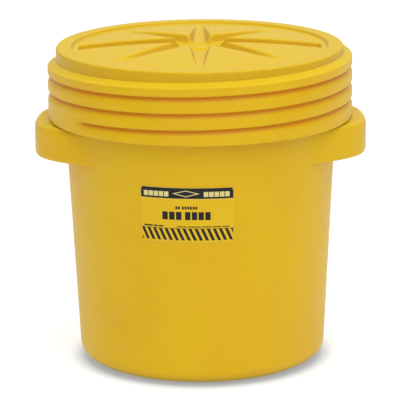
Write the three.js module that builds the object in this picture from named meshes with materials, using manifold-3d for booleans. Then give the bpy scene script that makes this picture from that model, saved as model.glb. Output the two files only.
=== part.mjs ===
// Overpack salvage drum with a screw-on lid, in millimetres, +Z up.
// The origin is the centre of the base, on the surface that the drum stands on.
//
// The drum body and the lid are each one hollow moulding. The lid's skirt is its thread: a helical
// groove outside is the crest inside, and that crest runs under the tooth on the drum's neck.
// Heights along the thread are measured from the thread line, a right-handed helix that the lid's
// groove hangs from. The drum's tooth follows the same line, so the two stay meshed as the lid turns.

import * as THREE from "three";
import { ConvexGeometry } from "three/addons/geometries/ConvexGeometry.js";
import { mergeVertices } from "three/addons/utils/BufferGeometryUtils.js";
import Module from "manifold-3d";

// ---- Driving dimensions ----

const AROUND = 48; // flat steps in one full turn of every round surface

// Drum body
const DRUM_WALL = 6;
const BASE_RADIUS = 208; // where the tapered wall would meet the floor
const WALL_TAPER = 0.0522; // radius gained for each millimetre of height
const FOOT_RADIUS = 172; // outer edge of the flat ring that the drum stands on
const BASE_ROUND_HEIGHT = 28;
const PANEL_RADIUS = 146; // raised panel in the middle of the base
const PANEL_LIFT = 5;

// Lugs: two hollow bulges of the wall, on the X axis, under the lid
const LUG_RADIUS = 281;
const LUG_BOTTOM = 361;
const LUG_TOP = 418;
const LUG_BOTTOM_ROUND = 6;
const LUG_TOP_ROUND = 13;
const LUG_FULL_ANGLE = 10; // degrees from the X axis over which a lug has its full depth
const LUG_END_ANGLE = 41; // degrees from the X axis where a lug has faded into the wall

// Neck
const NECK_RADIUS = 245;
const NECK_BOTTOM = 431;
const SHOULDER_HEIGHT = 423;
const NECK_TOP = 497.5;
const LIP_RADIUS = 236.3;
const LIP_BOTTOM = 503.5;
const LIP_TOP = 525;
const LIP_EDGE = 1.2;

// Thread
const THREAD_PITCH = 27.3;
const THREAD_LINE_AT_FRONT = 448.4; // height of the thread line at the front, on its first turn
const FRONT_TURN = 0.75; // the front faces -Y, three quarters of a turn from +X
const TOOTH_RADIUS = 251;
const TOOTH_START = 0.25;
const TOOTH_END = 2.08;
const TOOTH_FADE = 0.09;

// Lid
const LID_WALL = 5.2;
const SKIRT_RADIUS = 257.5;
const SKIRT_BOTTOM = 421;
const SKIRT_TOP = 535;
const GROOVE_RADIUS = 252;
const GROOVE_HEIGHT = 14.8;
const GROOVE_START = 0.6;
const GROOVE_FADE = 0.06;
const THREAD_END = 3.25;
const RIM_RADIUS = 243;
const RIM_TOP = 540;
const RIM_ROUND = 5;
const RIM_INNER_RADIUS = 217;
const BEVEL_FOOT = 12.5; // above the thread line, at the skirt's radius
const BEVEL_TOP = 20; // above the thread line, at the rim's radius
const BEVEL_START = 2.125;
const BEVEL_FADE = 0.125;

// Deck of the lid: a low crown with an eight-armed star of channels that meet in a pit
const DECK_RADIUS = 214;
const DECK_CROWN = 548.5;
const DECK_EDGE = 535.5;
const ARMS = 8;
const CHANNEL_INNER_FLOOR = 532; // at the lid's axis; each floor slopes from here to its tip
// A draft is how far a channel's side leans out for each millimetre of height.
const LONG_ARM = { tip: 203, tipFloor: 528.5, innerHalf: 17.8, tipHalf: 17.8, draft: 0.1 };
const SHORT_ARM = { tip: 182, tipFloor: 537.5, innerHalf: 13, tipHalf: 3.5, draft: 0.45 };
const PIT_RADIUS = 50;
const PIT_FLOOR_RADIUS = 38;
const PIT_FLOOR = 531;
const SUMP_RADIUS = 13.5;
const SUMP_FLOOR = 527;
const CUT_TOP = 552; // just above the crown, where the cutting solids end

// Gasket
const GASKET_INNER_RADIUS = 225;
const GASKET_OUTER_RADIUS = 237;
const GASKET_CHAMFER = 2;
const GAP = 0.3; // between surfaces that touch on the real drum

// Label
const LABEL_START_ANGLE = 243.4;
const LABEL_END_ANGLE = 283.6;
const LABEL_BOTTOM = 252;
const LABEL_TOP = 345;
const LABEL_THICKNESS = 0.4;
const LABEL_STEPS = 24;

// ---- Solids ----

const wasm = await Module();
wasm.setup();

function signedVolume(geometry) {
  const spot = geometry.getAttribute("position");
  const index = geometry.getIndex();
  const [a, b, c] = [new THREE.Vector3(), new THREE.Vector3(), new THREE.Vector3()];
  let volume = 0;
  for (let i = 0; i < index.count; i += 3) {
    a.fromBufferAttribute(spot, index.getX(i));
    b.fromBufferAttribute(spot, index.getX(i + 1));
    c.fromBufferAttribute(spot, index.getX(i + 2));
    volume += a.dot(b.cross(c)) / 6;
  }
  return volume;
}

// Makes a manifold solid of a closed geometry, with its faces turned outward.
function solid(geometry) {
  const bare = geometry.clone();
  bare.deleteAttribute("normal");
  bare.deleteAttribute("uv");
  const merged = mergeVertices(bare, 1e-3);
  const triVerts = Uint32Array.from(merged.getIndex().array);
  if (signedVolume(merged) < 0) {
    triVerts.reverse();
  }
  const vertProperties = Float32Array.from(merged.getAttribute("position").array);
  const mesh = new wasm.Mesh({ numProp: 3, vertProperties, triVerts });
  mesh.merge();
  return new wasm.Manifold(mesh);
}

function geometryOf(manifold) {
  const mesh = manifold.getMesh();
  const geometry = new THREE.BufferGeometry();
  geometry.setAttribute("position", new THREE.BufferAttribute(Float32Array.from(mesh.vertProperties), 3));
  geometry.setIndex(new THREE.BufferAttribute(Uint32Array.from(mesh.triVerts), 1));
  geometry.computeVertexNormals();
  return geometry;
}

// Turns an outline of [radius, height] points about the Z axis.
function turned(outline) {
  const points = outline.map(([radius, height]) => new THREE.Vector2(radius, height));
  return new THREE.LatheGeometry(points, AROUND).rotateX(Math.PI / 2);
}

// A quarter of an ellipse between two [radius, height] points. It leaves the first one along the
// radius when flatFirst is true, and along the height when it is false.
function roundBetween(from, to, steps, flatFirst) {
  return Array.from({ length: steps + 1 }, (_, step) => {
    const angle = (Math.PI / 2) * (step / steps);
    const early = 1 - Math.cos(angle);
    const late = Math.sin(angle);
    const [acrossPart, upPart] = flatFirst ? [late, early] : [early, late];
    return [from[0] + (to[0] - from[0]) * acrossPart, from[1] + (to[1] - from[1]) * upPart];
  });
}

// Bends a straight extrusion into a helix about the Z axis. The section's x is the radius and its y
// the height above the thread line. Turns count from +X, and reshape may vary the radius along it.
function helical(section, startTurn, endTurn, reshape = (radius) => radius) {
  const shape = new THREE.Shape(section.map(([radius, height]) => new THREE.Vector2(radius, height)));
  const length = endTurn - startTurn;
  const bar = new THREE.ExtrudeGeometry(shape, {
    depth: length,
    steps: Math.ceil(length * AROUND),
    bevelEnabled: false,
  });
  const spot = bar.getAttribute("position");
  for (let i = 0; i < spot.count; i += 1) {
    const turn = startTurn + spot.getZ(i);
    const radius = reshape(spot.getX(i), turn);
    const angle = 2 * Math.PI * turn;
    spot.setXYZ(i, radius * Math.cos(angle), radius * Math.sin(angle), spot.getY(i) + threadLine(turn));
  }
  return solid(bar);
}

function threadLine(turn) {
  return THREAD_LINE_AT_FRONT + THREAD_PITCH * (turn - FRONT_TURN);
}

// ---- Drum body ----

function wallRadius(height) {
  return BASE_RADIUS + WALL_TAPER * height;
}

// Share of a lug's depth at an angle round the drum: 1 on the X axis, 0 past the lug's ends.
function lugShare(angle) {
  const fromAxis = THREE.MathUtils.radToDeg(Math.abs(Math.asin(Math.sin(angle))));
  return 1 - THREE.MathUtils.smoothstep(fromAxis, LUG_FULL_ANGLE, LUG_END_ANGLE);
}

// Outline points [radius, height, lug depth] up the outside of a lug. An inset moves them inward
// by the wall's thickness, for the hollow behind the lug.
function lugOutline(inset) {
  const bottom = LUG_BOTTOM + inset;
  const top = LUG_TOP - inset;
  const depthAt = (height) => LUG_RADIUS - wallRadius(height);
  const lowRound = roundBetween([-LUG_BOTTOM_ROUND, bottom], [0, bottom + LUG_BOTTOM_ROUND], 2, true);
  const highRound = roundBetween([0, top - LUG_TOP_ROUND], [-LUG_TOP_ROUND, top], 3, false);
  const face = [...lowRound, ...highRound];
  return [
    [wallRadius(bottom) - inset, bottom, 0],
    ...face.map(([back, height]) => [wallRadius(height) - inset, height, depthAt(height) + back]),
    [wallRadius(top) - inset, top, 0],
  ];
}

function drumShell() {
  const plain = ([radius, height]) => [radius, height, 0];
  const rounded = roundBetween([FOOT_RADIUS, 0], [wallRadius(BASE_ROUND_HEIGHT), BASE_ROUND_HEIGHT], 5, true);
  const outside = [
    [0, PANEL_LIFT, 0],
    [PANEL_RADIUS - 2 * PANEL_LIFT, PANEL_LIFT, 0],
    [PANEL_RADIUS, 0, 0],
    ...rounded.map(plain),
    ...lugOutline(0),
    [wallRadius(SHOULDER_HEIGHT), SHOULDER_HEIGHT, 0],
    [NECK_RADIUS, NECK_BOTTOM, 0],
    [NECK_RADIUS, NECK_TOP, 0],
    [LIP_RADIUS, LIP_BOTTOM, 0],
    [LIP_RADIUS, LIP_TOP - LIP_EDGE, 0],
    [LIP_RADIUS - LIP_EDGE, LIP_TOP, 0],
  ];
  const innerRound = rounded.map(([radius, height]) => [radius - DRUM_WALL, height + DRUM_WALL, 0]);
  const inside = [
    [0, PANEL_LIFT + DRUM_WALL, 0],
    [PANEL_RADIUS - 2 * PANEL_LIFT, PANEL_LIFT + DRUM_WALL, 0],
    [PANEL_RADIUS, DRUM_WALL, 0],
    ...innerRound,
    ...lugOutline(DRUM_WALL),
    [wallRadius(SHOULDER_HEIGHT) - DRUM_WALL, SHOULDER_HEIGHT + DRUM_WALL / 2, 0],
    [NECK_RADIUS - DRUM_WALL, NECK_BOTTOM + DRUM_WALL / 2, 0],
    [NECK_RADIUS - DRUM_WALL, NECK_TOP - DRUM_WALL / 2, 0],
    [LIP_RADIUS - DRUM_WALL, LIP_BOTTOM - DRUM_WALL / 2, 0],
    [LIP_RADIUS - DRUM_WALL, LIP_TOP - LIP_EDGE, 0],
    [LIP_RADIUS - DRUM_WALL + LIP_EDGE, LIP_TOP, 0],
  ];
  const outline = [...outside, ...inside.reverse()];
  const shell = turned(outline);
  const spot = shell.getAttribute("position");
  for (let i = 0; i < spot.count; i += 1) {
    const [radius, , lugDepth] = outline[i % outline.length];
    const angle = Math.atan2(spot.getY(i), spot.getX(i));
    const reach = radius + lugDepth * lugShare(angle);
    spot.setXY(i, reach * Math.cos(angle), reach * Math.sin(angle));
  }
  return solid(shell);
}

// The tooth on the neck, as [radius, height above the thread line]. Its ends fade into the neck.
function neckTooth() {
  const root = NECK_RADIUS - DRUM_WALL / 2;
  const section = [
    [root, 1.3],
    [NECK_RADIUS, 1.3],
    [TOOTH_RADIUS, 4],
    [TOOTH_RADIUS, 10.5],
    [NECK_RADIUS, 22.2],
    [root, 22.2],
  ];
  const fade = (radius, turn) => {
    const fromEnd = Math.min(turn - TOOTH_START, TOOTH_END - turn);
    const share = THREE.MathUtils.lerp(0.1, 1, THREE.MathUtils.smoothstep(fromEnd, 0, TOOTH_FADE));
    return root + (radius - root) * share;
  };
  return helical(section, TOOTH_START, TOOTH_END, fade);
}

// ---- Lid ----

function deckHeight(radius) {
  return DECK_CROWN - (DECK_CROWN - DECK_EDGE) * (radius / DECK_RADIUS) ** 2;
}

// The lid without its thread and star, as one solid. The lid is the difference of two of these:
// its outside, and the same shape moved in by the wall's thickness and left open below.
function lidBlank(inset) {
  const deckSteps = 6;
  const deck = Array.from({ length: deckSteps + 1 }, (_, step) => {
    const radius = (DECK_RADIUS * step) / deckSteps;
    return [radius, deckHeight(radius) - inset];
  });
  const top = RIM_TOP - inset;
  const rim = RIM_RADIUS - inset;
  const round = Math.max(RIM_ROUND - inset, 1);
  const outline = [
    ...deck,
    [RIM_INNER_RADIUS + inset, top],
    ...roundBetween([rim - round, top], [rim, top - round], 3, true),
    [rim, SKIRT_TOP - inset],
    [SKIRT_RADIUS - inset, SKIRT_TOP - inset],
    [SKIRT_RADIUS - inset, SKIRT_BOTTOM - inset],
    [0, SKIRT_BOTTOM - inset],
  ];
  return solid(turned(outline));
}

// The helical groove round the skirt. Moved in by the wall's thickness, it is the crest inside.
function groove(inset) {
  const mouth = SKIRT_RADIUS - inset;
  const root = GROOVE_RADIUS - inset;
  const past = mouth + 4;
  const rise = 0.6 * inset;
  const drop = 0.25 * inset;
  const section = [
    [past, rise],
    [mouth, rise],
    [root, rise - 2.5],
    [root, -4 - drop],
    [mouth, -GROOVE_HEIGHT - drop],
    [past, -GROOVE_HEIGHT - drop],
  ];
  const fade = (radius, turn) => {
    const share = THREE.MathUtils.smoothstep(turn - GROOVE_START, 0, GROOVE_FADE);
    return THREE.MathUtils.lerp(Math.max(radius, mouth + 1), radius, share);
  };
  return helical(section, GROOVE_START, THREAD_END, fade);
}

// Everything outside the rim and above the bevel of the topmost ridge. The first part of the turn
// moves in from the skirt's radius to the rim's, so the topmost ridge fades out at the back. The
// cut is taller than the pitch, so it is made in lengths of half a turn, which don't overlap themselves.
function rimCut(inset) {
  const rim = RIM_RADIUS - inset;
  const skirt = SKIRT_RADIUS - inset;
  const past = skirt + 8;
  const sink = 0.6 * inset;
  const above = 60;
  const section = [
    [rim, BEVEL_TOP - sink],
    [skirt, BEVEL_FOOT - sink],
    [past, BEVEL_FOOT - sink],
    [past, above],
    [rim, above],
  ];
  const fade = (radius, turn) => {
    const share = THREE.MathUtils.smoothstep(turn - BEVEL_START, 0, BEVEL_FADE);
    return radius < skirt ? THREE.MathUtils.lerp(skirt - 0.5, radius, share) : radius;
  };
  const joints = [BEVEL_START, THREAD_END - 1, THREAD_END - 0.5, THREAD_END];
  const lengths = joints.slice(1).map((end, i) => helical(section, joints[i], end, fade));
  return lengths.reduce((whole, length) => whole.add(length));
}

// One channel of the star, along +X, as a wedge that leans out upward.
function channel(arm, inset) {
  const corners = [
    [0, CHANNEL_INNER_FLOOR - inset, arm.innerHalf + inset],
    [arm.tip + inset, arm.tipFloor - inset, arm.tipHalf + inset],
  ].flatMap(([along, floor, halfFloor]) => {
    const halfTop = halfFloor + arm.draft * (CUT_TOP - floor);
    return [-1, 1].flatMap((side) => [
      new THREE.Vector3(along, side * halfFloor, floor),
      new THREE.Vector3(along, side * halfTop, CUT_TOP),
    ]);
  });
  return new ConvexGeometry(corners);
}

function pit(inset) {
  const slope = (PIT_RADIUS - PIT_FLOOR_RADIUS) / (deckHeight(PIT_RADIUS) - PIT_FLOOR);
  const topRadius = PIT_FLOOR_RADIUS + slope * (CUT_TOP - PIT_FLOOR);
  return solid(turned([
    [0, CUT_TOP],
    [topRadius + inset, CUT_TOP],
    [PIT_FLOOR_RADIUS + inset, PIT_FLOOR - inset],
    [SUMP_RADIUS + inset, PIT_FLOOR - inset],
    [SUMP_RADIUS + inset, SUMP_FLOOR - inset],
    [0, SUMP_FLOOR - inset],
  ]));
}

// The star: two wide channels on the X axis with blunt ends, and six that taper to almost nothing.
function star(inset) {
  let cut = pit(inset);
  for (let number = 0; number < ARMS; number += 1) {
    const arm = number % (ARMS / 2) === 0 ? LONG_ARM : SHORT_ARM;
    const wedge = channel(arm, inset).rotateZ((2 * Math.PI * number) / ARMS);
    cut = cut.add(solid(wedge));
  }
  return cut;
}

function lidForm(inset) {
  return lidBlank(inset).subtract(groove(inset)).subtract(rimCut(inset)).subtract(star(inset));
}

// ---- Gasket and label ----

function gasketRing() {
  const bottom = LIP_TOP + GAP;
  const top = RIM_TOP - LID_WALL - GAP;
  const [low, high] = [bottom + GASKET_CHAMFER, top - GASKET_CHAMFER];
  const [near, far] = [GASKET_INNER_RADIUS + GASKET_CHAMFER, GASKET_OUTER_RADIUS - GASKET_CHAMFER];
  const outline = [
    [far, bottom],
    [GASKET_OUTER_RADIUS, low],
    [GASKET_OUTER_RADIUS, high],
    [far, top],
    [near, top],
    [GASKET_INNER_RADIUS, high],
    [GASKET_INNER_RADIUS, low],
    [near, bottom],
  ];
  return solid(turned([...outline, outline[0]]));
}

function labelFilm() {
  const edge = (height, out) => new THREE.Vector2(wallRadius(height) + GAP + out, height);
  const shape = new THREE.Shape([
    edge(LABEL_BOTTOM, 0),
    edge(LABEL_BOTTOM, LABEL_THICKNESS),
    edge(LABEL_TOP, LABEL_THICKNESS),
    edge(LABEL_TOP, 0),
  ]);
  const sweep = THREE.MathUtils.degToRad(LABEL_END_ANGLE - LABEL_START_ANGLE);
  const start = THREE.MathUtils.degToRad(LABEL_START_ANGLE);
  const film = new THREE.ExtrudeGeometry(shape, { depth: sweep, steps: LABEL_STEPS, bevelEnabled: false });
  const spot = film.getAttribute("position");
  for (let i = 0; i < spot.count; i += 1) {
    const [radius, height, angle] = [spot.getX(i), spot.getY(i), start + spot.getZ(i)];
    spot.setXYZ(i, radius * Math.cos(angle), radius * Math.sin(angle), height);
  }
  return solid(film);
}

// ---- The object ----

function piece(name, manifold, colour, roughness) {
  const material = new THREE.MeshStandardMaterial({ color: colour, roughness, metalness: 0 });
  const mesh = new THREE.Mesh(geometryOf(manifold), material);
  mesh.name = name;
  return mesh;
}

const drum = new THREE.Group();
drum.add(piece("drum_body", drumShell().add(neckTooth()), 0xdeb027, 0.45));
drum.add(piece("label", labelFilm(), 0xf2f0e8, 0.3));

const closure = new THREE.Group();
closure.add(piece("gasket", gasketRing(), 0x3a3a38, 0.9));
closure.add(piece("lid", lidForm(0).subtract(lidForm(LID_WALL)), 0xe2b52a, 0.45));

const salvageDrum = new THREE.Group();
salvageDrum.add(drum, closure);

export default salvageDrum;
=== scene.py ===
"""Overpack salvage drum with a screw-on lid: the visual model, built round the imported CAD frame.

Outlines are in millimetres with +Z up, and become metres when a mesh is made. The round surfaces are
stacks of rings. The rings of the threaded walls follow the thread, a right-handed helix, so that its
edges are as crisp as the turned ones.
"""

import math

import bmesh
import bpy
import numpy as np
from mathutils import Matrix, Vector


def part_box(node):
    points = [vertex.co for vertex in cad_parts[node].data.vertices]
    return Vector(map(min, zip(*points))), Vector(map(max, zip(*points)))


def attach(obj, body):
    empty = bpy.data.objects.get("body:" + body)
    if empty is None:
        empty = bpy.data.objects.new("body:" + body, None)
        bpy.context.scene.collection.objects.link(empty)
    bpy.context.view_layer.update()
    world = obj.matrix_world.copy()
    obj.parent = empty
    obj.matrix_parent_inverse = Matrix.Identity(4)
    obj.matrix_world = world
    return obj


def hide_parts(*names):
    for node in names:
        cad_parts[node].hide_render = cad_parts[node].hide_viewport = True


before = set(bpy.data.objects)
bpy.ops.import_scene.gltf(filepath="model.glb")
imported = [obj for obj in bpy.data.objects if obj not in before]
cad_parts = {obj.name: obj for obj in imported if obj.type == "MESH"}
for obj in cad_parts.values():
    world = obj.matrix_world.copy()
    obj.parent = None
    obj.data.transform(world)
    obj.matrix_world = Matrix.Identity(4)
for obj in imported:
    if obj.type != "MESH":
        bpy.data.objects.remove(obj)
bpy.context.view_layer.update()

MM = 0.001


def box_mm(node):
    """Lowest and highest corner of a CAD node, in millimetres."""
    low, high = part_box(node)
    return low / MM, high / MM


_, drum_high = box_mm("drum_body")
lid_low, lid_high = box_mm("lid")
seal_low, seal_high = box_mm("gasket")
label_low, label_high = box_mm("label")

# ---- Driving dimensions ----

# Drum body
DRUM_WALL = 6.0
BASE_RADIUS = 208.0  # where the tapered wall would meet the floor
WALL_TAPER = 0.0522  # radius gained for each millimetre of height
FOOT_RADIUS = 172.0
BASE_ROUND_HEIGHT = 28.0
PANEL_RADIUS = 146.0  # raised panel in the middle of the base
PANEL_LIFT = 5.0
LUG_RADIUS = drum_high.x
LUG_BOTTOM = 361.0
LUG_TOP = 418.0
LUG_BOTTOM_ROUND = 6.0
LUG_TOP_ROUND = 13.0
LUG_FULL_ANGLE = 10.0  # degrees from the X axis over which a lug has its full depth
LUG_END_ANGLE = 41.0  # degrees from the X axis where a lug has faded into the wall
SHOULDER_HEIGHT = 423.0
NECK_RADIUS = 245.0
NECK_BOTTOM = 431.0
NECK_TOP = 497.5
LIP_RADIUS = 236.3
LIP_BOTTOM = 503.5
LIP_TOP = drum_high.z

# Thread. Heights along it are above the thread line, and turns count from +X.
THREAD_PITCH = 27.3
THREAD_LINE_AT_FRONT = 448.4
FRONT_TURN = 0.75
STRIP_START = -21.3  # where one turn's strip of rings begins, halfway up the ridge below
TOOTH_DEPTH = 6.0
TOOTH_START = 0.25
TOOTH_END = 2.08
TOOTH_FADE = 0.09

# Lid
LID_WALL = 5.2
SKIRT_RADIUS = lid_high.x
SKIRT_BOTTOM = lid_low.z
GROOVE_DEPTH = 5.5
GROOVE_START = 0.594
GROOVE_FADE = 0.03
RIM_RADIUS = 243.0
RIM_TOP = 540.0
RIM_ROUND = 5.0
RIM_INNER_RADIUS = 217.0
TOP_RIDGE_FADE_START = 3.125  # the topmost ridge fades into the rim over these turns
TOP_RIDGE_FADE_END = 3.25

# Deck of the lid: a low crown with an eight-armed star of channels that meet in a pit
DECK_RADIUS = 214.0
DECK_CROWN = 548.5
DECK_EDGE = 535.5
ARMS = 8
CHANNEL_INNER_FLOOR = 532.0  # at the lid's axis; each floor slopes from here to its tip
# A draft is how far a side leans out for each millimetre of height, and an edge is how far the
# rounding reaches past it. A long arm has blunt ends, and a short one runs out to nothing.
LONG_ARM = {
    "tip": 203.0,
    "floor": 528.5,
    "inner_half": 17.8,
    "tip_half": 17.8,
    "draft": 0.1,
    "edge": 4.5,
}
SHORT_ARM = {
    "tip": 180.0,
    "floor": 537.0,
    "inner_half": 12.5,
    "tip_half": 5.0,
    "draft": 0.5,
    "edge": 2.6,
}
SHORT_END_DRAFT = 5.0
PIT_RADIUS = 50.0
PIT_FLOOR_RADIUS = 38.0
PIT_FLOOR = 531.0
SUMP_RADIUS = 13.5
SUMP_FLOOR = 527.0
SUMP_DRAFT = 0.8
STAR_ROUND = 5.0  # how far from a star's edge, in height, its rounding reaches

# Label
LABEL_START_ANGLE = 244.1
LABEL_END_ANGLE = 283.6
LABEL_BACK_GAP = 0.3
LABEL_THICKNESS = 0.4
LABEL_CORNER = 3.0

# Seal
SEAL_WIDTH = 12.0
SEAL_ROUND = 2.2

# Columns and rows of the meshes
DRUM_COLUMNS = 256
SEAL_COLUMNS = 192
LABEL_COLUMNS = 64
LABEL_ROWS = 12

# The label's print, measured from its lower left corner. Spans are (low, high).
PRINT_LEFT = 0.7
PRINT_RIGHT = 153.7
PRINT_FRAME = (0.5, 153.9, 0.5, 92.8)  # left, right, low, high
PRINT_SOFTNESS = 0.12  # half of the width over which a printed edge fades
HEADER = (74.5, 92.4)
KEY_LINES = ((92.6, 93.0), (73.5, 74.1))
STRIPES = (3.4, 23.2)
STRIPE_LINE = (23.2, 23.9)
STRIPE_PITCH = 10.0
STRIPE_LEAN = 0.45  # how far a stripe moves across for each millimetre up
DIAMOND_CENTRE = (76.3, 83.0)
DIAMOND_FLATNESS = 4.0
DIAMOND_OUTER_EDGE = (22.4, 22.8)
DIAMOND_INNER_EDGE = (17.0, 17.4)
# Rows of plain bars, as (left, low, high, widths, gap)
HEADER_BARS = (
    (5.6, 77.6, 86.2, (7.4,) * 5, 1.3),
    (105.4, 77.6, 86.2, (7.4,) * 5, 1.3),
)
INK_BARS = (
    (58.9, 56.4, 61.4, (3.2,) * 2, 1.0),
    (69.6, 56.4, 61.4, (3.2,) * 6, 1.2),
    (36.7, 38.4, 52.0, (9.2,) * 3, 2.2),
    (74.6, 38.4, 52.0, (8.8,) * 4, 2.2),
    (4.4, 25.6, 28.2, (15, 7, 8), 1.6),
    (61.0, 25.8, 27.4, (16, 22, 16, 14, 12), 1.6),
)

# Where the lid's colours change, and where the shade painted into its grooves runs, as the measures
# between which a change runs
GROOVE_SHADE_FADE = (252.2, 256.8)  # radius, from the groove's root to the ridges' crests
GROOVE_SHADE_START = (247.0, 249.0)  # radius, outside the rim
GROOVE_SHADE_PHASE = (0.48, 0.82)  # share of a pitch above the thread line
RIM_TINT_INSIDE = (216.5, 218.5)  # radius
RIM_TINT_OUTSIDE = (243.5, 247.5)  # radius
RIM_TINT_HEIGHT = (508.0, 520.0)

# Depths of the surfaces' fine texture
GRAIN_DEPTH = 0.08
PEEL_DEPTH = 0.26
PEBBLE_DEPTH = 1.2
FOAM_DEPTH = 0.3
FILM_DEPTH = 0.1

# Camera, in metres and radians, with its lens in millimetres
CAMERA_BACK = 4.7905
CAMERA_HEIGHT = 1.4496
CAMERA_PITCH = 0.2416
CAMERA_YAW = 0.0004
CAMERA_ROLL = -0.0094
CAMERA_LENS = 259.6
CAMERA_SENSOR = 36.0

# Light. The world is dim in front, brighter behind and bright on top. The two spans say where along
# a direction's Y and Z, from -1 to 1, it turns from front to back and from the sides to the top.
SUN_WIDTH = 80.0  # degrees
SUN_STRENGTH = 1.45
SUN_AZIMUTH = -75.0  # degrees from +X, so it stands in front and slightly to the right
SUN_HEIGHT = 50.0  # degrees
STUDIO_FRONT = 0.15
STUDIO_BACK = 0.72
STUDIO_TOP = 0.78
STUDIO_FRONT_TO_BACK = (-0.4, 0.5)
STUDIO_SIDES_TO_TOP = (0.15, 0.8)


# ---- Colours ----


def linear(red, green, blue):
    """A colour given in sRGB steps from 0 to 255, as Blender's linear values."""
    parts = []
    for value in (red, green, blue):
        value = value / 255
        parts.append(value / 12.92 if value <= 0.04045 else ((value + 0.055) / 1.055) ** 2.4)
    return (*parts, 1.0)


BODY_YELLOW = linear(217, 174, 4)
BODY_YELLOW_WARM = linear(215, 169, 4)
BODY_YELLOW_LIGHT = linear(222, 181, 9)
# Painted light: the paler yellow painted on faces that point up
LIT_TOP_YELLOW = linear(234, 196, 18)
RIM_YELLOW = linear(209, 167, 8)
# Painted shade: the deeper orange painted into the roots of the lid's thread grooves
GROOVE_SHADE_ORANGE = linear(205, 129, 3)
SPECK_ORANGE = linear(190, 126, 6)
# Paler edge colour: partly wear, partly a painted highlight along crisp edges
WORN_EDGE_AND_HIGHLIGHT = linear(240, 203, 60)
FOAM_GREY = linear(58, 58, 56)
FOAM_CELL = linear(34, 34, 33)
PRINT_BLACK = linear(24, 22, 20)
PRINT_PALE = linear(216, 200, 130)
# The floor's size and the reach of its shade are in metres. Its colours are linear.
FLOOR_HALF = 40.0
FLOOR_SHADE_REACH = 0.05
FLOOR_SHADE_FADE = (0.3, 0.85)
FLOOR_OPEN = (0.50, 0.58, 0.66, 1.0)
FLOOR_SHADED = (0.26, 0.31, 0.37, 1.0)
FLOOR_GLOW = (0.62, 0.58, 0.54, 1.0)
FLOOR_SHADED_GLOW = (0.30, 0.30, 0.31, 1.0)


# ---- Outlines ----


def wall_radius(height):
    return BASE_RADIUS + WALL_TAPER * height


def smoothstep(value, start, end):
    share = np.clip((value - start) / (end - start), 0, 1)
    return share * share * (3 - 2 * share)


def arc(corner, before, after, radius, steps):
    """Points of a round in the corner between two other points of an outline."""
    corner, before, after = (np.array(p, float) for p in (corner, before, after))
    to_before = (before - corner) / np.linalg.norm(before - corner)
    to_after = (after - corner) / np.linalg.norm(after - corner)
    half = math.acos(np.clip(to_before @ to_after, -1, 1)) / 2
    back = radius / math.tan(half)
    bisector = (to_before + to_after) / np.linalg.norm(to_before + to_after)
    centre = corner + bisector * radius / math.sin(half)
    start = corner + to_before * back - centre
    end = corner + to_after * back - centre
    sweep = math.pi - 2 * half
    points = []
    for step in range(steps + 1):
        share = step / steps
        early = math.sin((1 - share) * sweep) / math.sin(sweep)
        late = math.sin(share * sweep) / math.sin(sweep)
        points.append(centre + start * early + end * late)
    return points


def rounded(corners, steps=4):
    """An outline through (x, y, round radius) corners. A radius of 0 leaves the corner sharp."""
    points = []
    for i, (x, y, radius) in enumerate(corners):
        if radius == 0:
            points.append(np.array([x, y], float))
            continue
        points += arc((x, y), corners[i - 1][:2], corners[i + 1][:2], radius, steps)
    return points


def ellipse_quarter(start, end, steps):
    """From start, leaving it along the radius, to end, reached along the height."""
    points = []
    for step in range(steps + 1):
        angle = math.pi / 2 * step / steps
        across = start[0] + (end[0] - start[0]) * math.sin(angle)
        up = start[1] + (end[1] - start[1]) * (1 - math.cos(angle))
        points.append(np.array([across, up]))
    return points


def thread_line(turn):
    return THREAD_LINE_AT_FRONT + THREAD_PITCH * (turn - FRONT_TURN)


# ---- Meshes ----


def ring(turns, radius, height):
    """One ring of points. Radius and height are numbers or one value for each turn."""
    angle = 2 * math.pi * np.asarray(turns)
    height = np.broadcast_to(height, angle.shape)
    return np.stack([radius * np.cos(angle), radius * np.sin(angle), height], axis=1)


def ring_faces(first_row, count, rows, shift=0):
    """Quads between rows of rings. At the seam the last column joins the first one, shift rows up."""
    faces = []
    for row in range(rows - 1):
        for column in range(count):
            following = (column + 1) % count
            low, high = first_row + row, first_row + row + 1
            over = shift if following == 0 else 0
            if high + over >= first_row + rows:
                continue
            faces.append(
                (
                    low * count + column,
                    (low + over) * count + following,
                    (high + over) * count + following,
                    high * count + column,
                )
            )
    return faces


def level_rings(turns, points):
    """A ring for each (radius, height) of an outline."""
    return [ring(turns, radius, height) for radius, height in points]


def linked(name, data):
    """A new object in the scene."""
    made = bpy.data.objects.new(name, data)
    bpy.context.scene.collection.objects.link(made)
    return made


def smooth_object(mesh, form, sharp_degrees):
    """An object from a bmesh, written to the mesh given: smooth, apart from its sharp edges."""
    bmesh.ops.recalc_face_normals(form, faces=form.faces)
    form.to_mesh(mesh)
    form.free()
    mesh.shade_smooth()
    mesh.set_sharp_from_angle(angle=math.radians(sharp_degrees))
    return linked(mesh.name, mesh)


def closed_by_rings(name, stacks, sharp_degrees):
    """One closed mesh from stacks of rings, each a (rings, shift) pair.

    A stack starts on the ring where the last one ended, or on the axis after one that ended there.
    The whole ends on the axis or on its first ring."""
    rows, faces = [], []
    for rings, shift in stacks:
        faces += ring_faces(len(rows), len(rings[0]), len(rings), shift)
        rows += rings
    mesh = bpy.data.meshes.new(name)
    mesh.from_pydata((np.concatenate(rows) * MM).tolist(), [], faces)
    form = bmesh.new()
    form.from_mesh(mesh)
    bmesh.ops.remove_doubles(form, verts=form.verts, dist=0.01 * MM)
    bmesh.ops.dissolve_degenerate(form, edges=form.edges, dist=0.005 * MM)
    return smooth_object(mesh, form, sharp_degrees)


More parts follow.
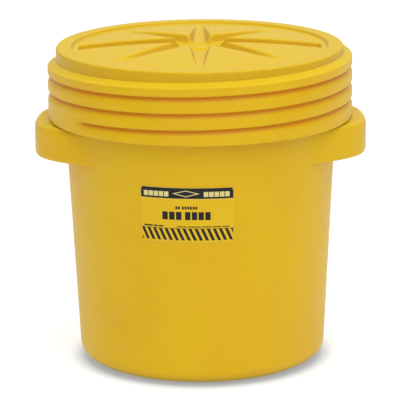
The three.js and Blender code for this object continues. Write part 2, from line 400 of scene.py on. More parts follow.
def threaded_wall(turns, first_turn, last_turn, section_at, low, high):
    """Rings that climb with the thread, between two level ones.

    section_at(turn) gives the wall's points in one pitch, as (height above the thread line, radius).
    low and high are the (height, radius) of the level rings. Each strip ends where the next begins."""
    columns = []
    for turn in turns:
        points = []
        for lap in range(first_turn, last_turn):
            for over, radius in section_at(turn + lap):
                height = thread_line(turn + lap) + over
                if height <= low[0]:
                    height, radius = low
                if height >= high[0]:
                    height, radius = high
                points.append((radius, height))
        columns.append(points)
    grid = np.array(columns)
    rings = [ring(turns, grid[:, row, 0], grid[:, row, 1]) for row in range(grid.shape[1])]
    strip = len(section_at(0.0))
    return rings, strip


# ---- Drum ----

drum_turns = np.arange(DRUM_COLUMNS) / DRUM_COLUMNS


def lug_share(turns):
    """Share of a lug's depth at each angle: 1 on the X axis, 0 past the lug's ends."""
    from_axis = np.degrees(np.abs(np.arcsin(np.sin(2 * math.pi * np.asarray(turns)))))
    return 1 - smoothstep(from_axis, LUG_FULL_ANGLE, LUG_END_ANGLE)


def lug_outline(inset):
    """The outside of a lug at its full depth, or the inside, moved in by the wall."""
    bottom, top = LUG_BOTTOM + inset, LUG_TOP - inset
    reach = LUG_RADIUS - inset
    foot = 4.0  # round where a lug grows from the wall
    return rounded(
        [
            (wall_radius(bottom - 40) - inset, bottom - 40, 0),
            (wall_radius(bottom) - inset, bottom, foot),
            (reach, bottom, LUG_BOTTOM_ROUND),
            (reach, top, LUG_TOP_ROUND),
            (wall_radius(top) - inset, top, 1.5),
            (wall_radius(top + 5) - inset, top + 5, 0),
        ],
        steps=6,
    )[1:-1]


def lugged(points, inset, turns):
    """Rings for an outline that bulges out to its full radius only where the lugs are."""
    share = lug_share(turns)
    rings = []
    for radius, height in points:
        wall = wall_radius(height) - inset
        rings.append(ring(turns, wall + (radius - wall) * share, height))
    return rings


def tooth_section(turn):
    """The tooth on the neck, as (height above the thread line, radius)."""
    share = smoothstep(min(turn - TOOTH_START, TOOTH_END - turn), 0, TOOTH_FADE)
    corners = [
        (STRIP_START, 0, 0),
        (1.3, 0, 1.5),
        (4.0, TOOTH_DEPTH, 1.5),
        (10.5, TOOTH_DEPTH, 3.0),
        (22.2, 0, 6.0),
        (STRIP_START + THREAD_PITCH, 0, 0),
    ]
    points = rounded(corners, steps=3)[:-1]
    return [(over, NECK_RADIUS + out * float(share)) for over, out in points]


def drum():
    """The hollow body, from the middle of its underside, up the outside and down the inside."""

    def level(points):
        return level_rings(drum_turns, points)

    underside = rounded(
        [
            (0, PANEL_LIFT, 0),
            (PANEL_RADIUS - 2 * PANEL_LIFT, PANEL_LIFT, 5),
            (PANEL_RADIUS, 0, 5),
            (FOOT_RADIUS, 0, 0),
        ]
    )[:-1]
    base_round = ellipse_quarter((FOOT_RADIUS, 0), (wall_radius(BASE_ROUND_HEIGHT), BASE_ROUND_HEIGHT), 12)
    wall = [(wall_radius(height), height) for height in range(40, 340, 20)]
    neck_start = NECK_BOTTOM + 4
    neck_rings, strip = threaded_wall(
        drum_turns,
        first_turn=-1,
        last_turn=3,
        section_at=tooth_section,
        low=(neck_start, NECK_RADIUS),
        high=(NECK_TOP, NECK_RADIUS),
    )
    shoulder = rounded(
        [
            (wall_radius(LUG_TOP), LUG_TOP, 0),
            (wall_radius(SHOULDER_HEIGHT), SHOULDER_HEIGHT, 3),
            (NECK_RADIUS, NECK_BOTTOM, 3),
            (NECK_RADIUS, neck_start, 0),
        ]
    )[1:]
    inner_lip = LIP_RADIUS - DRUM_WALL
    inner_neck = NECK_RADIUS - DRUM_WALL
    half_wall = DRUM_WALL / 2
    lip = rounded(
        [
            (NECK_RADIUS, NECK_TOP, 0),
            (LIP_RADIUS, LIP_BOTTOM, 3),
            (LIP_RADIUS, LIP_TOP, 1.6),
            (inner_lip, LIP_TOP, 1.6),
            (inner_lip, LIP_BOTTOM - half_wall, 3),
            (inner_neck, NECK_TOP - half_wall, 3),
            (inner_neck, NECK_BOTTOM + half_wall, 3),
            (wall_radius(SHOULDER_HEIGHT) - DRUM_WALL, SHOULDER_HEIGHT + half_wall, 3),
            (wall_radius(LUG_TOP) - DRUM_WALL, LUG_TOP, 0),
        ]
    )[:-1]
    inner_round = [(radius - DRUM_WALL, height + DRUM_WALL) for radius, height in reversed(base_round)]
    inner_wall = [(radius - DRUM_WALL, height) for radius, height in reversed(wall[1:])]
    inside_base = rounded(
        [
            (FOOT_RADIUS - DRUM_WALL, DRUM_WALL, 0),
            (PANEL_RADIUS, DRUM_WALL, 5),
            (PANEL_RADIUS - 2 * PANEL_LIFT, PANEL_LIFT + DRUM_WALL, 5),
            (0, PANEL_LIFT + DRUM_WALL, 0),
        ]
    )[1:]
    outside = level(underside) + level(base_round) + level(wall)
    outside += lugged(lug_outline(0), 0, drum_turns) + level(shoulder)
    inside = level(lip) + lugged(reversed(lug_outline(DRUM_WALL)), DRUM_WALL, drum_turns)
    inside += level(inner_wall) + level(inner_round) + level(inside_base)
    stacks = [(outside + [neck_rings[0]], 0), (neck_rings, strip), ([neck_rings[-1]] + inside, 0)]
    return closed_by_rings("drum_shell", stacks, sharp_degrees=35)


# ---- Lid ----

# Where the points of half a channel lie across it: shares of the floor's half width, of the side's
# width and of the rounding past its top edge.
SHORT_ACROSS = np.array(
    [
        (0, 0, 0),
        (0.5, 0, 0),
        (0.85, 0, 0),
        (1, 0, 0),
        (1, 0.15, 0),
        (1, 0.38, 0),
        (1, 0.62, 0),
        (1, 0.84, 0),
        (1, 1, 0),
        (1, 1, 0.4),
        (1, 1, 1),
    ]
)
LONG_ACROSS = np.array(
    [
        (0, 0, 0),
        (0.5, 0, 0),
        (0.93, 0, 0),
        (1, 0, 0),
        (1, 0.4, 0),
        (1, 1, 0),
        (1, 1, 0.07),
        (1, 1, 0.2),
        (1, 1, 0.4),
        (1, 1, 0.67),
        (1, 1, 1),
    ]
)
PANEL_COLUMNS = 6  # from a channel's edge to where the next channel's columns begin
LONG_SHARE = 0.57  # share of the sector between a long arm and a short one that follows the long one
FULLEST = 0.9  # share of its part of a sector that a channel's half may fill near the middle


def arm_of(number):
    return LONG_ARM if number % (ARMS // 2) == 0 else SHORT_ARM


def deck_height(radius):
    return DECK_CROWN - (DECK_CROWN - DECK_EDGE) * (radius / DECK_RADIUS) ** 2


def along_arm(arm, radius, inner, tip):
    """A measure that changes evenly from an arm's root, on the lid's axis, to its tip."""
    return inner + (tip - inner) * np.clip(radius / arm["tip"], 0, 1)


def channel_shape(arm, radius):
    """Height of a channel's floor, its half width there, and its half width at the deck."""
    floor = along_arm(arm, radius, CHANNEL_INNER_FLOOR, arm["floor"])
    half = along_arm(arm, radius, arm["inner_half"], arm["tip_half"])
    return floor, half, half + arm["draft"] * np.maximum(deck_height(radius) - floor, 0)


def channel_offsets(arm, radius, inset, part):
    """Angles of a channel's points and of the panel's beside it, in sectors, over its part of one."""
    across = LONG_ACROSS if arm is LONG_ARM else SHORT_ACROSS
    _, half, half_top = channel_shape(arm, min(radius, arm["tip"]))
    limit = part * FULLEST
    widths = across @ np.array([half + inset, half_top - half, arm["edge"]])
    sector = 2 * math.pi / ARMS
    near = np.arcsin(np.clip(widths / max(radius, 1.0), 0, 0.99)) / sector
    if radius <= PIT_FLOOR_RADIUS or near[-1] > limit:
        near = widths / widths[-1] * limit
    rest = np.linspace(near[-1], part, PANEL_COLUMNS + 1)[1:]
    return np.concatenate([near, rest])


def star_turns(radius, inset=0.0):
    """The angles of one ring of the deck, in turns. They gather along the channels' edges."""
    turns = []
    for number in range(ARMS):
        arm, following = arm_of(number), arm_of(number + 1)
        part = 0.5
        if arm is not following:
            part = LONG_SHARE if arm is LONG_ARM else 1 - LONG_SHARE
        near = channel_offsets(arm, radius, inset, part)
        far = channel_offsets(following, radius, inset, 1 - part)
        turns += [(number + share) / ARMS for share in near]
        turns += [(number + 1 - share) / ARMS for share in far[-2:0:-1]]
    return np.array(turns)


def soft_min(a, b, reach):
    near = np.clip(1 - np.abs(a - b) / reach, 0, 1)
    return np.minimum(a, b) - near * near * reach / 4


def soft_max(a, b, reach):
    return -soft_min(-a, -b, reach)


def pit_height(radius, inset):
    slope = (deck_height(PIT_RADIUS) - PIT_FLOOR) / (PIT_RADIUS - PIT_FLOOR_RADIUS)
    cone = PIT_FLOOR + (radius - PIT_FLOOR_RADIUS - inset) * slope
    bowl = soft_max(np.full_like(cone, PIT_FLOOR), cone, STAR_ROUND)
    sump = SUMP_FLOOR + np.maximum(radius - SUMP_RADIUS - inset + 4 * SUMP_DRAFT, 0) / SUMP_DRAFT
    return soft_min(bowl, soft_max(np.full_like(sump, SUMP_FLOOR), sump, 2.0), 1.5)


def short_channel_height(along, aside, inset):
    floor, half, _ = channel_shape(SHORT_ARM, along)
    side = floor + (aside - half - inset) / SHORT_ARM["draft"]
    end = floor + (along - SHORT_ARM["tip"] - inset) / SHORT_END_DRAFT
    behind = floor - along / SHORT_ARM["draft"]
    return np.maximum(soft_max(soft_max(floor, side, STAR_ROUND), end, STAR_ROUND), behind)


def long_channel_height(along, aside, radius, inset):
    """A long channel, whose steep sides and end meet the deck in a round."""
    deck = deck_height(radius)
    floor, _, half_top = channel_shape(LONG_ARM, radius)
    lip = max(LONG_ARM["edge"] - inset, 1.0)
    beside = aside - half_top - inset
    tip_draft = LONG_ARM["draft"] * (deck_height(LONG_ARM["tip"]) - LONG_ARM["floor"])
    beyond = radius - LONG_ARM["tip"] - tip_draft - inset
    outside = np.hypot(np.maximum(beside, 0), np.maximum(beyond, 0))
    inside = np.minimum(np.maximum(beside, beyond), 0)
    round_drop = lip * (1 - np.sqrt(1 - np.clip(1 - outside / lip, 0, 1) ** 2))
    wall = deck - round_drop + inside / LONG_ARM["draft"]
    return np.where(along > 0, soft_max(wall, floor, 2.0), deck)


def star_height(points, inset=0.0):
    """Height of the deck at each point, with the star sunk in it. An inset gives its underside."""
    x, y = points[:, 0], points[:, 1]
    radius = np.hypot(x, y)
    narrow = pit_height(radius, inset)
    wide = deck_height(radius)
    for number in range(ARMS):
        angle = 2 * math.pi * number / ARMS
        along = x * math.cos(angle) + y * math.sin(angle)
        aside = np.abs(y * math.cos(angle) - x * math.sin(angle))
        if arm_of(number) is LONG_ARM:
            wide = np.minimum(wide, long_channel_height(along, aside, radius, inset))
        else:
            narrow = soft_min(narrow, short_channel_height(along, aside, inset), 1.0)
    return np.minimum(soft_min(deck_height(radius), narrow, STAR_ROUND), wide) - inset


def deck_radii(inset):
    """Radii of the deck's rings, from its middle out, closer together at the pit and the tips."""
    middle = [0, 4, 8, 10, 11.5, 13, 14.5, 16.5, 20, 26, 31, 34.5, 37, 39, 41, 43, 45, 47, 49, 51, 53.5]
    outward = [57, 61, 66, 72, 80] + [90 + 10 * step for step in range(11)]
    tip = LONG_ARM["tip"] + inset
    lip = max(LONG_ARM["edge"] - inset, 1.0)
    tips = [tip - 7, tip - 3, tip - 0.3, tip, tip + 0.4]
    return middle + outward + tips + [tip + 0.8 + lip * share for share in (0, 0.07, 0.2, 0.4, 0.67, 1)]


def deck_rings(inset, rim_turns):
    """The deck's rings. Those of the underside turn towards the rim's columns as they near its edge."""
    rings = []
    for radius in deck_radii(inset):
        turns = star_turns(radius, inset)
        turns = turns + (rim_turns - turns) * smoothstep(radius, 190, 210)
        points = ring(turns, radius, 0.0)
        points[:, 2] = star_height(points, inset)
        rings.append(points)
    return rings


def skirt_section(turn, inset):
    """The skirt over one pitch, as (height above the thread line, radius).

    The plain section is the groove and the ridges beside it. The bevel section is the bevel over the
    topmost ridge and the rim above it. The clear section is all rim."""
    skirt = SKIRT_RADIUS - inset
    step = SKIRT_RADIUS - RIM_RADIUS
    end = STRIP_START + THREAD_PITCH
    plain = rounded(
        [
            (STRIP_START, 0, 0),
            (-14.8 - 0.25 * inset, 0, 7.0),
            (-4.0 - 0.25 * inset, GROOVE_DEPTH, 1.8),
            (-2.5 + 0.6 * inset, GROOVE_DEPTH, 0.9),
            (0.6 * inset, 0, 0.7),
            (end, 0, 0),
        ],
        steps=4,
    )[:-1]
    bevel = rounded(
        [
            (STRIP_START, 0, 0),
            (-14.8 - 0.6 * inset, 0, 1.6),
            (-7.3 - 0.6 * inset, step, 1.2),
            (end, step, 0),
        ],
        steps=7,
    )[:-1]
    bevel += [np.array([-3.0 + 2.0 * i, step]) for i in range(len(plain) - len(bevel))]
    groove = smoothstep(turn, GROOVE_START, GROOVE_START + GROOVE_FADE)
    plain = np.array(plain) * [1, groove]
    bevel = np.array(bevel)
    clear = np.array([(over, step) for over, _ in bevel])
    to_bevel = smoothstep(turn, TOP_RIDGE_FADE_START, TOP_RIDGE_FADE_END)
    to_clear = smoothstep(turn - 1, TOP_RIDGE_FADE_START, TOP_RIDGE_FADE_END)
    section = plain + (bevel - plain) * to_bevel
    section = section + (clear - section) * to_clear
    return [(over, skirt - depth) for over, depth in section]


def lid():
    """The hollow-backed lid, from its foot, up the skirt, over the deck and back down the inside."""
    rim_turns = star_turns(DECK_RADIUS)

    def level(points):
        return level_rings(rim_turns, points)

    skirt_start = SKIRT_BOTTOM + 1.5
    skirt_top = RIM_TOP - RIM_ROUND
    outer_wall, strip = threaded_wall(
        rim_turns,
        first_turn=-1,
        last_turn=5,
        section_at=lambda turn: skirt_section(turn, 0.0),
        low=(skirt_start, SKIRT_RADIUS),
        high=(skirt_top, RIM_RADIUS),
    )
    inner_skirt = SKIRT_RADIUS - LID_WALL
    inner_rim = RIM_RADIUS - LID_WALL
    inner_top = RIM_TOP - LID_WALL
    inner_wall, _ = threaded_wall(
        rim_turns,
        first_turn=-1,
        last_turn=5,
        section_at=lambda turn: skirt_section(turn, LID_WALL),
        low=(skirt_start, inner_skirt),
        high=(inner_top - 2.5, inner_rim),
    )
    rim = rounded(
        [
            (RIM_RADIUS, skirt_top - 5, 0),
            (RIM_RADIUS, RIM_TOP, RIM_ROUND - 0.2),
            (RIM_INNER_RADIUS, RIM_TOP, 1.6),
            (DECK_RADIUS, DECK_EDGE, 1.4),
            (DECK_RADIUS - 4, deck_height(DECK_RADIUS - 4), 0),
        ],
        steps=6,
    )[1:-1]
    foot = rounded(
        [
            (inner_skirt, SKIRT_BOTTOM + 5, 0),
            (inner_skirt, SKIRT_BOTTOM, 1.4),
            (SKIRT_RADIUS, SKIRT_BOTTOM, 1.4),
            (SKIRT_RADIUS, SKIRT_BOTTOM + 5, 0),
        ],
        steps=4,
    )[1:-1]
    seat = rounded(
        [
            (inner_rim, inner_top - 5, 0),
            (inner_rim, inner_top, 2.0),
            (RIM_INNER_RADIUS + LID_WALL, inner_top, 2.0),
            (DECK_RADIUS, DECK_EDGE - LID_WALL, 1.5),
            (DECK_RADIUS - 3, deck_height(DECK_RADIUS - 3) - LID_WALL, 0),
        ],
        steps=4,
    )[1:-1]
    top = level(rim) + deck_rings(0.0, rim_turns)[::-1]
    under = deck_rings(LID_WALL, rim_turns) + level(reversed(seat))
    stacks = [
        (level(foot) + [outer_wall[0]], 0),
        (outer_wall, strip),
        ([outer_wall[-1]] + top, 0),
        (under + [inner_wall[-1]], 0),
        (inner_wall[::-1], -strip),
        ([inner_wall[0]] + level(foot[:1]), 0),
    ]
    return closed_by_rings("lid_shell", stacks, sharp_degrees=35)


# ---- Seal ----


def seal():
    """The foam ring, a rounded band that closes on itself."""
    turns = np.arange(SEAL_COLUMNS) / SEAL_COLUMNS
    inner, outer = seal_high.x - SEAL_WIDTH, seal_high.x
    middle_height = (seal_low.z + seal_high.z) / 2
    outline = rounded(
        [
            (inner, middle_height, 0),
            (inner, seal_low.z, SEAL_ROUND),
            (outer, seal_low.z, SEAL_ROUND),
            (outer, seal_high.z, SEAL_ROUND),
            (inner, seal_high.z, SEAL_ROUND),
            (inner, middle_height, 0),
        ],
        steps=5,
    )
    return closed_by_rings("foam_seal", [(level_rings(turns, outline), 0)], sharp_degrees=50)


# ---- Label ----


def sheet_edge(rows):
    """The outermost points of a sheet's rows, once round it."""
    right = [row[-1] for row in rows[:-1]]
    left = [row[0] for row in rows[:0:-1]]
    return rows[0][:-1] + right + rows[-1][:0:-1] + left


def label():
    """A thin film on the wall, with its own measure across and up for the print."""
    start, end = math.radians(LABEL_START_ANGLE), math.radians(LABEL_END_ANGLE)
    bottom, top = label_low.z, label_high.z
    corner = LABEL_CORNER / (top - bottom)
    width = wall_radius((top + bottom) / 2) * (end - start)
    form = bmesh.new()
    across_layer = form.verts.layers.float.new("across_mm")
    up_layer = form.verts.layers.float.new("up_mm")
    sheets = []
    for out in (LABEL_BACK_GAP, LABEL_BACK_GAP + LABEL_THICKNESS):
        rows = []
        for row in range(LABEL_ROWS + 1):
            up = row / LABEL_ROWS
            from_edge = min(up, 1 - up) / corner
            pull = 0.0 if from_edge >= 1 else LABEL_CORNER * (1 - math.sqrt(1 - (1 - from_edge) ** 2))
            height = bottom + (top - bottom) * up
            verts = []
            for column in range(LABEL_COLUMNS + 1):
                across = pull + (width - 2 * pull) * column / LABEL_COLUMNS
                angle = start + (end - start) * across / width
                radius = wall_radius(height) + out
                point = Vector((radius * math.cos(angle), radius * math.sin(angle), height))
                vert = form.verts.new(point * MM)
                vert[across_layer] = across
                vert[up_layer] = height - bottom
                verts.append(vert)
            rows.append(verts)
        sheets.append(rows)
    back, front = sheets
    for sheet in sheets:
        for low, high in zip(sheet, sheet[1:]):
            for column in range(LABEL_COLUMNS):
                form.faces.new((low[column], low[column + 1], high[column + 1], high[column]))
    back_edge, front_edge = sheet_edge(back), sheet_edge(front)
    for i, vert in enumerate(back_edge):
        j = (i + 1) % len(back_edge)
        form.faces.new((vert, back_edge[j], front_edge[j], front_edge[i]))
    return smooth_object(bpy.data.meshes.new("label_sheet"), form, sharp_degrees=40)


# ---- Materials ----


def put(tree, socket, value):
    """Links a socket to another, or sets its value."""
    if isinstance(value, bpy.types.NodeSocket):
        tree.links.new(value, socket)
    else:
        socket.default_value = value


def smooth_ramp(tree, value, low, high, out_low=0.0, out_high=1.0):
    """Maps a value from one range to another, smoothly and within it."""
    node = tree.nodes.new("ShaderNodeMapRange")
    node.interpolation_type = "SMOOTHSTEP"
    for socket, number in zip(node.inputs, (value, low, high, out_low, out_high)):
        put(tree, socket, number)
    return node.outputs[0]


class Nodes:
    """A short way to add and link the nodes of one material."""

    def __init__(self, name):
        self.material = bpy.data.materials.new(name)
        self.material.use_nodes = True
        self.tree = self.material.node_tree
        self.tree.nodes.clear()
        self.shader = self.tree.nodes.new("ShaderNodeBsdfPrincipled")
        output = self.tree.nodes.new("ShaderNodeOutputMaterial")
        self.tree.links.new(self.shader.outputs["BSDF"], output.inputs["Surface"])

    def put(self, socket, value):
        put(self.tree, socket, value)

    def set(self, name, value):
        """Sets or links one of the shader's inputs."""
        self.put(self.shader.inputs[name], value)

    def place(self):
        """The point on the object, in metres."""
        return self.tree.nodes.new("ShaderNodeTexCoord").outputs["Object"]

    def parts(self, vector):
        """The x, y and z of a vector."""
        node = self.tree.nodes.new("ShaderNodeSeparateXYZ")
        self.put(node.inputs[0], vector)
        return node.outputs

    def attribute(self, name):
        node = self.tree.nodes.new("ShaderNodeAttribute")
        node.attribute_name = name
        return node.outputs["Fac"]

    def noise(self, scale, detail=2.0, roughness=0.5):
        """A noise of the object's own place, with its scale per metre."""
        node = self.tree.nodes.new("ShaderNodeTexNoise")
        self.put(node.inputs["Vector"], self.place())
        node.inputs["Scale"].default_value = scale
        node.inputs["Detail"].default_value = detail
        node.inputs["Roughness"].default_value = roughness
        return node.outputs["Fac"]

    def maths(self, operation, first, second=0.5):
        node = self.tree.nodes.new("ShaderNodeMath")
        node.operation = operation
        for socket, value in zip(node.inputs, (first, second)):
            self.put(socket, value)
        return node.outputs[0]

    def times(self, first, second):
        return self.maths("MULTIPLY", first, second)

    def ramp(self, value, low, high, out_low=0.0, out_high=1.0):
        return smooth_ramp(self.tree, value, low, high, out_low, out_high)

    def rise(self, value, span):
        """From 0 to 1 between two measures of a span, in millimetres, of a value in metres."""
        return self.ramp(value, span[0] * MM, span[1] * MM)

    def fall(self, value, span):
        """From 1 to 0 between two measures of a span, in millimetres, of a value in metres."""
        return self.ramp(value, span[0] * MM, span[1] * MM, 1.0, 0.0)

    def mix(self, share, first, second):
        node = self.tree.nodes.new("ShaderNodeMix")
        node.data_type = "RGBA"
        self.put(node.inputs["Factor"], share)
        self.put(node.inputs[6], first)
        self.put(node.inputs[7], second)
        return node.outputs[2]

    def bump(self, height, depth, normal=None):
        """A normal for a texture of a depth in millimetres, over another normal if one is given."""
        node = self.tree.nodes.new("ShaderNodeBump")
        node.inputs["Strength"].default_value = 1.0
        node.inputs["Distance"].default_value = depth * MM
        self.put(node.inputs["Height"], height)
        if normal is not None:
            self.put(node.inputs["Normal"], normal)
        return node.outputs["Normal"]


def groove_shade_share(nodes, radius, height):
    """Share of painted shade: 1 in the root of the lid's thread groove, fading out down the groove's lower
    side.
    """
    x, y, _ = nodes.parts(nodes.place())
    turn = nodes.maths("DIVIDE", nodes.maths("ARCTAN2", y, x), 2 * math.pi)
    above_line = nodes.maths("SUBTRACT", height, thread_line(0) * MM)
    climbed = nodes.maths("DIVIDE", above_line, THREAD_PITCH * MM)
    phase = nodes.maths("FRACT", nodes.maths("SUBTRACT", climbed, turn))
    deep = nodes.times(nodes.fall(radius, GROOVE_SHADE_FADE), nodes.rise(radius, GROOVE_SHADE_START))
    return nodes.times(deep, nodes.ramp(phase, *GROOVE_SHADE_PHASE))


def rim_share(nodes, radius, height):
    """1 on the lid's rim, above the bevel of its topmost ridge."""
    beside = nodes.times(nodes.rise(radius, RIM_TINT_INSIDE), nodes.fall(radius, RIM_TINT_OUTSIDE))
    return nodes.times(beside, nodes.rise(height, RIM_TINT_HEIGHT))


def polyethylene(name, is_lid):
    """Moulded yellow polyethylene: a fine orange peel, faint clouds of colour and paler edges, partly wear
    and partly a painted highlight.

    It is painted paler where it faces up, as painted light from above. The lid's grooves are painted
    deeper orange as painted shade, and its rim is pebbled."""
    nodes = Nodes(name)
    clouds = nodes.noise(7.0, 3.0, 0.55)
    mottle = nodes.noise(60.0, 3.0, 0.6)
    specks = nodes.noise(520.0, 1.0, 0.5)
    peel = nodes.noise(330.0, 2.0, 0.5)
    grain = nodes.noise(1300.0, 2.0, 0.6)
    x, y, height = nodes.parts(nodes.place())
    radius = nodes.maths("SQRT", nodes.maths("ADD", nodes.times(x, x), nodes.times(y, y)))
    colour = nodes.mix(nodes.ramp(clouds, 0.35, 0.65), BODY_YELLOW, BODY_YELLOW_WARM)
    colour = nodes.mix(nodes.ramp(mottle, 0.5, 0.75, 0.0, 0.25), colour, BODY_YELLOW_LIGHT)
    if is_lid:
        rim = rim_share(nodes, radius, height)
        colour = nodes.mix(rim, colour, RIM_YELLOW)
        # Painted shade: the thread grooves are painted deeper orange where shadow falls in them
        colour = nodes.mix(groove_shade_share(nodes, radius, height), colour, GROOVE_SHADE_ORANGE)
    surface = nodes.tree.nodes.new("ShaderNodeNewGeometry")
    upward = nodes.parts(surface.outputs["Normal"])[2]
    # Painted light: faces that point up are painted paler, as if lit from above
    colour = nodes.mix(nodes.ramp(upward, 0.45, 0.9), colour, LIT_TOP_YELLOW)
    colour = nodes.mix(nodes.ramp(specks, 0.7, 0.78, 0.0, 0.45), colour, SPECK_ORANGE)
    # Paler convex edges, found by pointiness: partly wear, partly a painted highlight along the crisp
    # edges
    edges = surface.outputs["Pointiness"]
    wear_and_highlight = nodes.times(nodes.ramp(edges, 0.52, 0.60), nodes.ramp(mottle, 0.3, 0.6, 0.25, 0.6))
    colour = nodes.mix(wear_and_highlight, colour, WORN_EDGE_AND_HIGHLIGHT)
    nodes.set("Base Color", colour)
    nodes.set("Roughness", nodes.ramp(mottle, 0.3, 0.7, 0.40, 0.50))
    skin = nodes.bump(grain, GRAIN_DEPTH)
    skin = nodes.bump(peel, PEEL_DEPTH, skin)
    if is_lid:
        pebbles = nodes.times(nodes.noise(300.0, 1.0, 0.5), rim)
        skin = nodes.bump(pebbles, PEBBLE_DEPTH, skin)
    nodes.set("Normal", skin)
    nodes.set("IOR", 1.5)
    nodes.set("Specular IOR Level", 0.22)
    return nodes.material


def foam():
    """Dull closed-cell foam with small open cells on its skin."""
    nodes = Nodes("closed_cell_foam")
    cells = nodes.tree.nodes.new("ShaderNodeTexVoronoi")
    nodes.put(cells.inputs["Vector"], nodes.place())
    cells.inputs["Scale"].default_value = 700.0
    depth = cells.outputs["Distance"]
    nodes.set("Base Color", nodes.mix(nodes.ramp(depth, 0.1, 0.6), FOAM_CELL, FOAM_GREY))
    nodes.set("Roughness", 0.92)
    nodes.set("Normal", nodes.bump(depth, FOAM_DEPTH))
    return nodes.material


def printed_film():
    """The label's print: a dark header, plain bars where lines of print would be, and slanted stripes."""
    nodes = Nodes("printed_film")
    across = nodes.attribute("across_mm")
    up = nodes.attribute("up_mm")

    def band(value, low, high):
        """1 between two measures, in millimetres, and 0 outside them."""
        rise = nodes.ramp(value, low - PRINT_SOFTNESS, low + PRINT_SOFTNESS)
        fall = nodes.ramp(value, high - PRINT_SOFTNESS, high + PRINT_SOFTNESS, 1.0, 0.0)
        return nodes.times(rise, fall)

    def block(left, right, low, high):
        return nodes.times(band(across, left, right), band(up, low, high))

    def full_width(span):
        return block(PRINT_LEFT, PRINT_RIGHT, *span)

    def union(parts):
        whole = parts[0]
        for part in parts[1:]:
            whole = nodes.maths("MAXIMUM", whole, part)
        return whole

    def bars(left, low, high, widths, gap):
        """A row of plain bars, one after another."""
        made = []
        for width in widths:
            made.append(block(left, left + width, low, high))
            left += width + gap
        return union(made)

    header = full_width(HEADER)
    key_lines = union([full_width(span) for span in KEY_LINES])
    beside = nodes.maths("ABSOLUTE", nodes.maths("SUBTRACT", across, DIAMOND_CENTRE[0]))
    beyond = nodes.maths("ABSOLUTE", nodes.maths("SUBTRACT", up, DIAMOND_CENTRE[1]))
    diamond = nodes.maths("ADD", beside, nodes.times(beyond, DIAMOND_FLATNESS))
    outer = nodes.ramp(diamond, *DIAMOND_OUTER_EDGE, 1.0, 0.0)
    inner = nodes.ramp(diamond, *DIAMOND_INNER_EDGE, 1.0, 0.0)
    pale = union([bars(*row) for row in HEADER_BARS] + [outer])
    ink = union([bars(*row) for row in INK_BARS])
    lean = nodes.maths("ADD", across, nodes.times(up, STRIPE_LEAN))
    phase = nodes.maths("FRACT", nodes.maths("DIVIDE", lean, STRIPE_PITCH))
    stripe = nodes.times(nodes.ramp(phase, 0.0, 0.03), nodes.ramp(phase, 0.52, 0.55, 1.0, 0.0))
    stripes = nodes.times(stripe, full_width(STRIPES))
    black = union([header, ink, stripes, full_width(STRIPE_LINE)])
    fibres = nodes.noise(900.0, 2.0, 0.6)
    ground = nodes.mix(nodes.ramp(fibres, 0.3, 0.7), BODY_YELLOW, BODY_YELLOW_LIGHT)
    frame_line = nodes.maths("SUBTRACT", 1.0, block(*PRINT_FRAME))
    colour = nodes.mix(nodes.times(frame_line, 0.35), ground, PRINT_PALE)
    colour = nodes.mix(nodes.times(key_lines, 0.6), colour, PRINT_PALE)
    colour = nodes.mix(black, colour, PRINT_BLACK)
    colour = nodes.mix(nodes.times(pale, header), colour, PRINT_PALE)
    colour = nodes.mix(nodes.times(inner, header), colour, PRINT_BLACK)
    nodes.set("Base Color", colour)
    nodes.set("Roughness", nodes.ramp(fibres, 0.3, 0.7, 0.40, 0.46))
    nodes.set("Specular IOR Level", 0.25)
    nodes.set("Normal", nodes.bump(nodes.noise(260.0), FILM_DEPTH))
    return nodes.material


def plain_floor():
    """A white studio floor, shaded softly only where something stands close to it."""
    nodes = Nodes("plain_floor")
    nearness = nodes.tree.nodes.new("ShaderNodeAmbientOcclusion")
    nearness.inputs["Distance"].default_value = FLOOR_SHADE_REACH
    open_share = nodes.ramp(nearness.outputs["AO"], *FLOOR_SHADE_FADE)
    nodes.set("Base Color", nodes.mix(open_share, FLOOR_SHADED, FLOOR_OPEN))
    nodes.set("Emission Color", nodes.mix(open_share, FLOOR_SHADED_GLOW, FLOOR_GLOW))
    nodes.set("Emission Strength", 1.0)
    nodes.set("Roughness", 0.9)
    nodes.set("Specular IOR Level", 0.0)
    return nodes.material


# ---- Stage ----


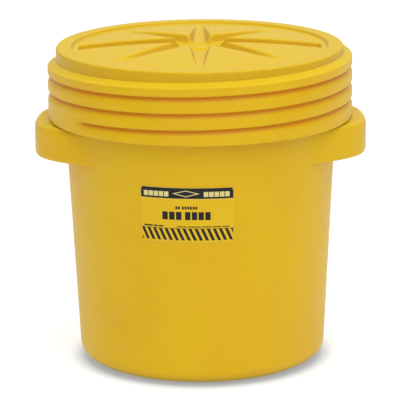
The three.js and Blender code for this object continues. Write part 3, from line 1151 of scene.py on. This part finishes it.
def add_camera():
    data = bpy.data.cameras.new("camera")
    data.sensor_width = CAMERA_SENSOR
    data.lens = CAMERA_LENS
    data.clip_start, data.clip_end = 0.1, 50.0
    camera = linked("camera", data)
    flat = Vector((math.cos(CAMERA_YAW), math.sin(CAMERA_YAW), 0))
    ahead = Vector(
        (
            -math.sin(CAMERA_YAW) * math.cos(CAMERA_PITCH),
            math.cos(CAMERA_YAW) * math.cos(CAMERA_PITCH),
            -math.sin(CAMERA_PITCH),
        )
    )
    upright = flat.cross(ahead)
    right = flat * math.cos(CAMERA_ROLL) + upright * math.sin(CAMERA_ROLL)
    up = upright * math.cos(CAMERA_ROLL) - flat * math.sin(CAMERA_ROLL)
    turned = Matrix((right, up, -ahead)).transposed().to_4x4()
    camera.matrix_world = Matrix.Translation((0, -CAMERA_BACK, CAMERA_HEIGHT)) @ turned
    bpy.context.scene.camera = camera


def add_floor():
    mesh = bpy.data.meshes.new("floor")
    corners = [(FLOOR_HALF * x, FLOOR_HALF * y, 0) for x, y in ((-1, -1), (1, -1), (1, 1), (-1, 1))]
    mesh.from_pydata(corners, [], [(0, 1, 2, 3)])
    mesh.materials.append(plain_floor())
    linked("floor", mesh)


def add_soft_sun():
    """A very wide light from the front, a little to the right and high up."""
    data = bpy.data.lights.new("soft_sun", "SUN")
    data.angle = math.radians(SUN_WIDTH)
    data.energy = SUN_STRENGTH
    light = linked("soft_sun", data)
    azimuth, height = math.radians(SUN_AZIMUTH), math.radians(SUN_HEIGHT)
    level = math.cos(height)
    towards = Vector((math.cos(azimuth) * level, math.sin(azimuth) * level, math.sin(height)))
    light.rotation_euler = towards.to_track_quat("Z", "Y").to_euler()


def add_studio():
    """A soft white room: bright overhead and behind, and dim on the camera's side."""
    world = bpy.data.worlds.new("studio")
    world.use_nodes = True
    tree = world.node_tree
    place = tree.nodes.new("ShaderNodeTexCoord")
    split = tree.nodes.new("ShaderNodeSeparateXYZ")
    tree.links.new(place.outputs["Generated"], split.inputs[0])
    sides = smooth_ramp(tree, split.outputs["Y"], *STUDIO_FRONT_TO_BACK, STUDIO_FRONT, STUDIO_BACK)
    strength = smooth_ramp(tree, split.outputs["Z"], *STUDIO_SIDES_TO_TOP, sides, STUDIO_TOP)
    tree.links.new(strength, tree.nodes["Background"].inputs["Strength"])
    tree.nodes["Background"].inputs["Color"].default_value = (1.0, 1.0, 1.0, 1.0)
    bpy.context.scene.world = world


# ---- The object ----


def finished(piece, body, node, material):
    piece.data.materials.append(material)
    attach(piece, body)
    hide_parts(node)


add_camera()
add_floor()
add_soft_sun()
add_studio()
bpy.context.scene.view_settings.view_transform = "Standard"
finished(drum(), "drum", "drum_body", polyethylene("drum_polyethylene", False))
finished(lid(), "lid", "lid", polyethylene("lid_polyethylene", True))
foam_seal = seal()
finished(foam_seal, "seal", "gasket", foam())
finished(label(), "drum", "label", printed_film())
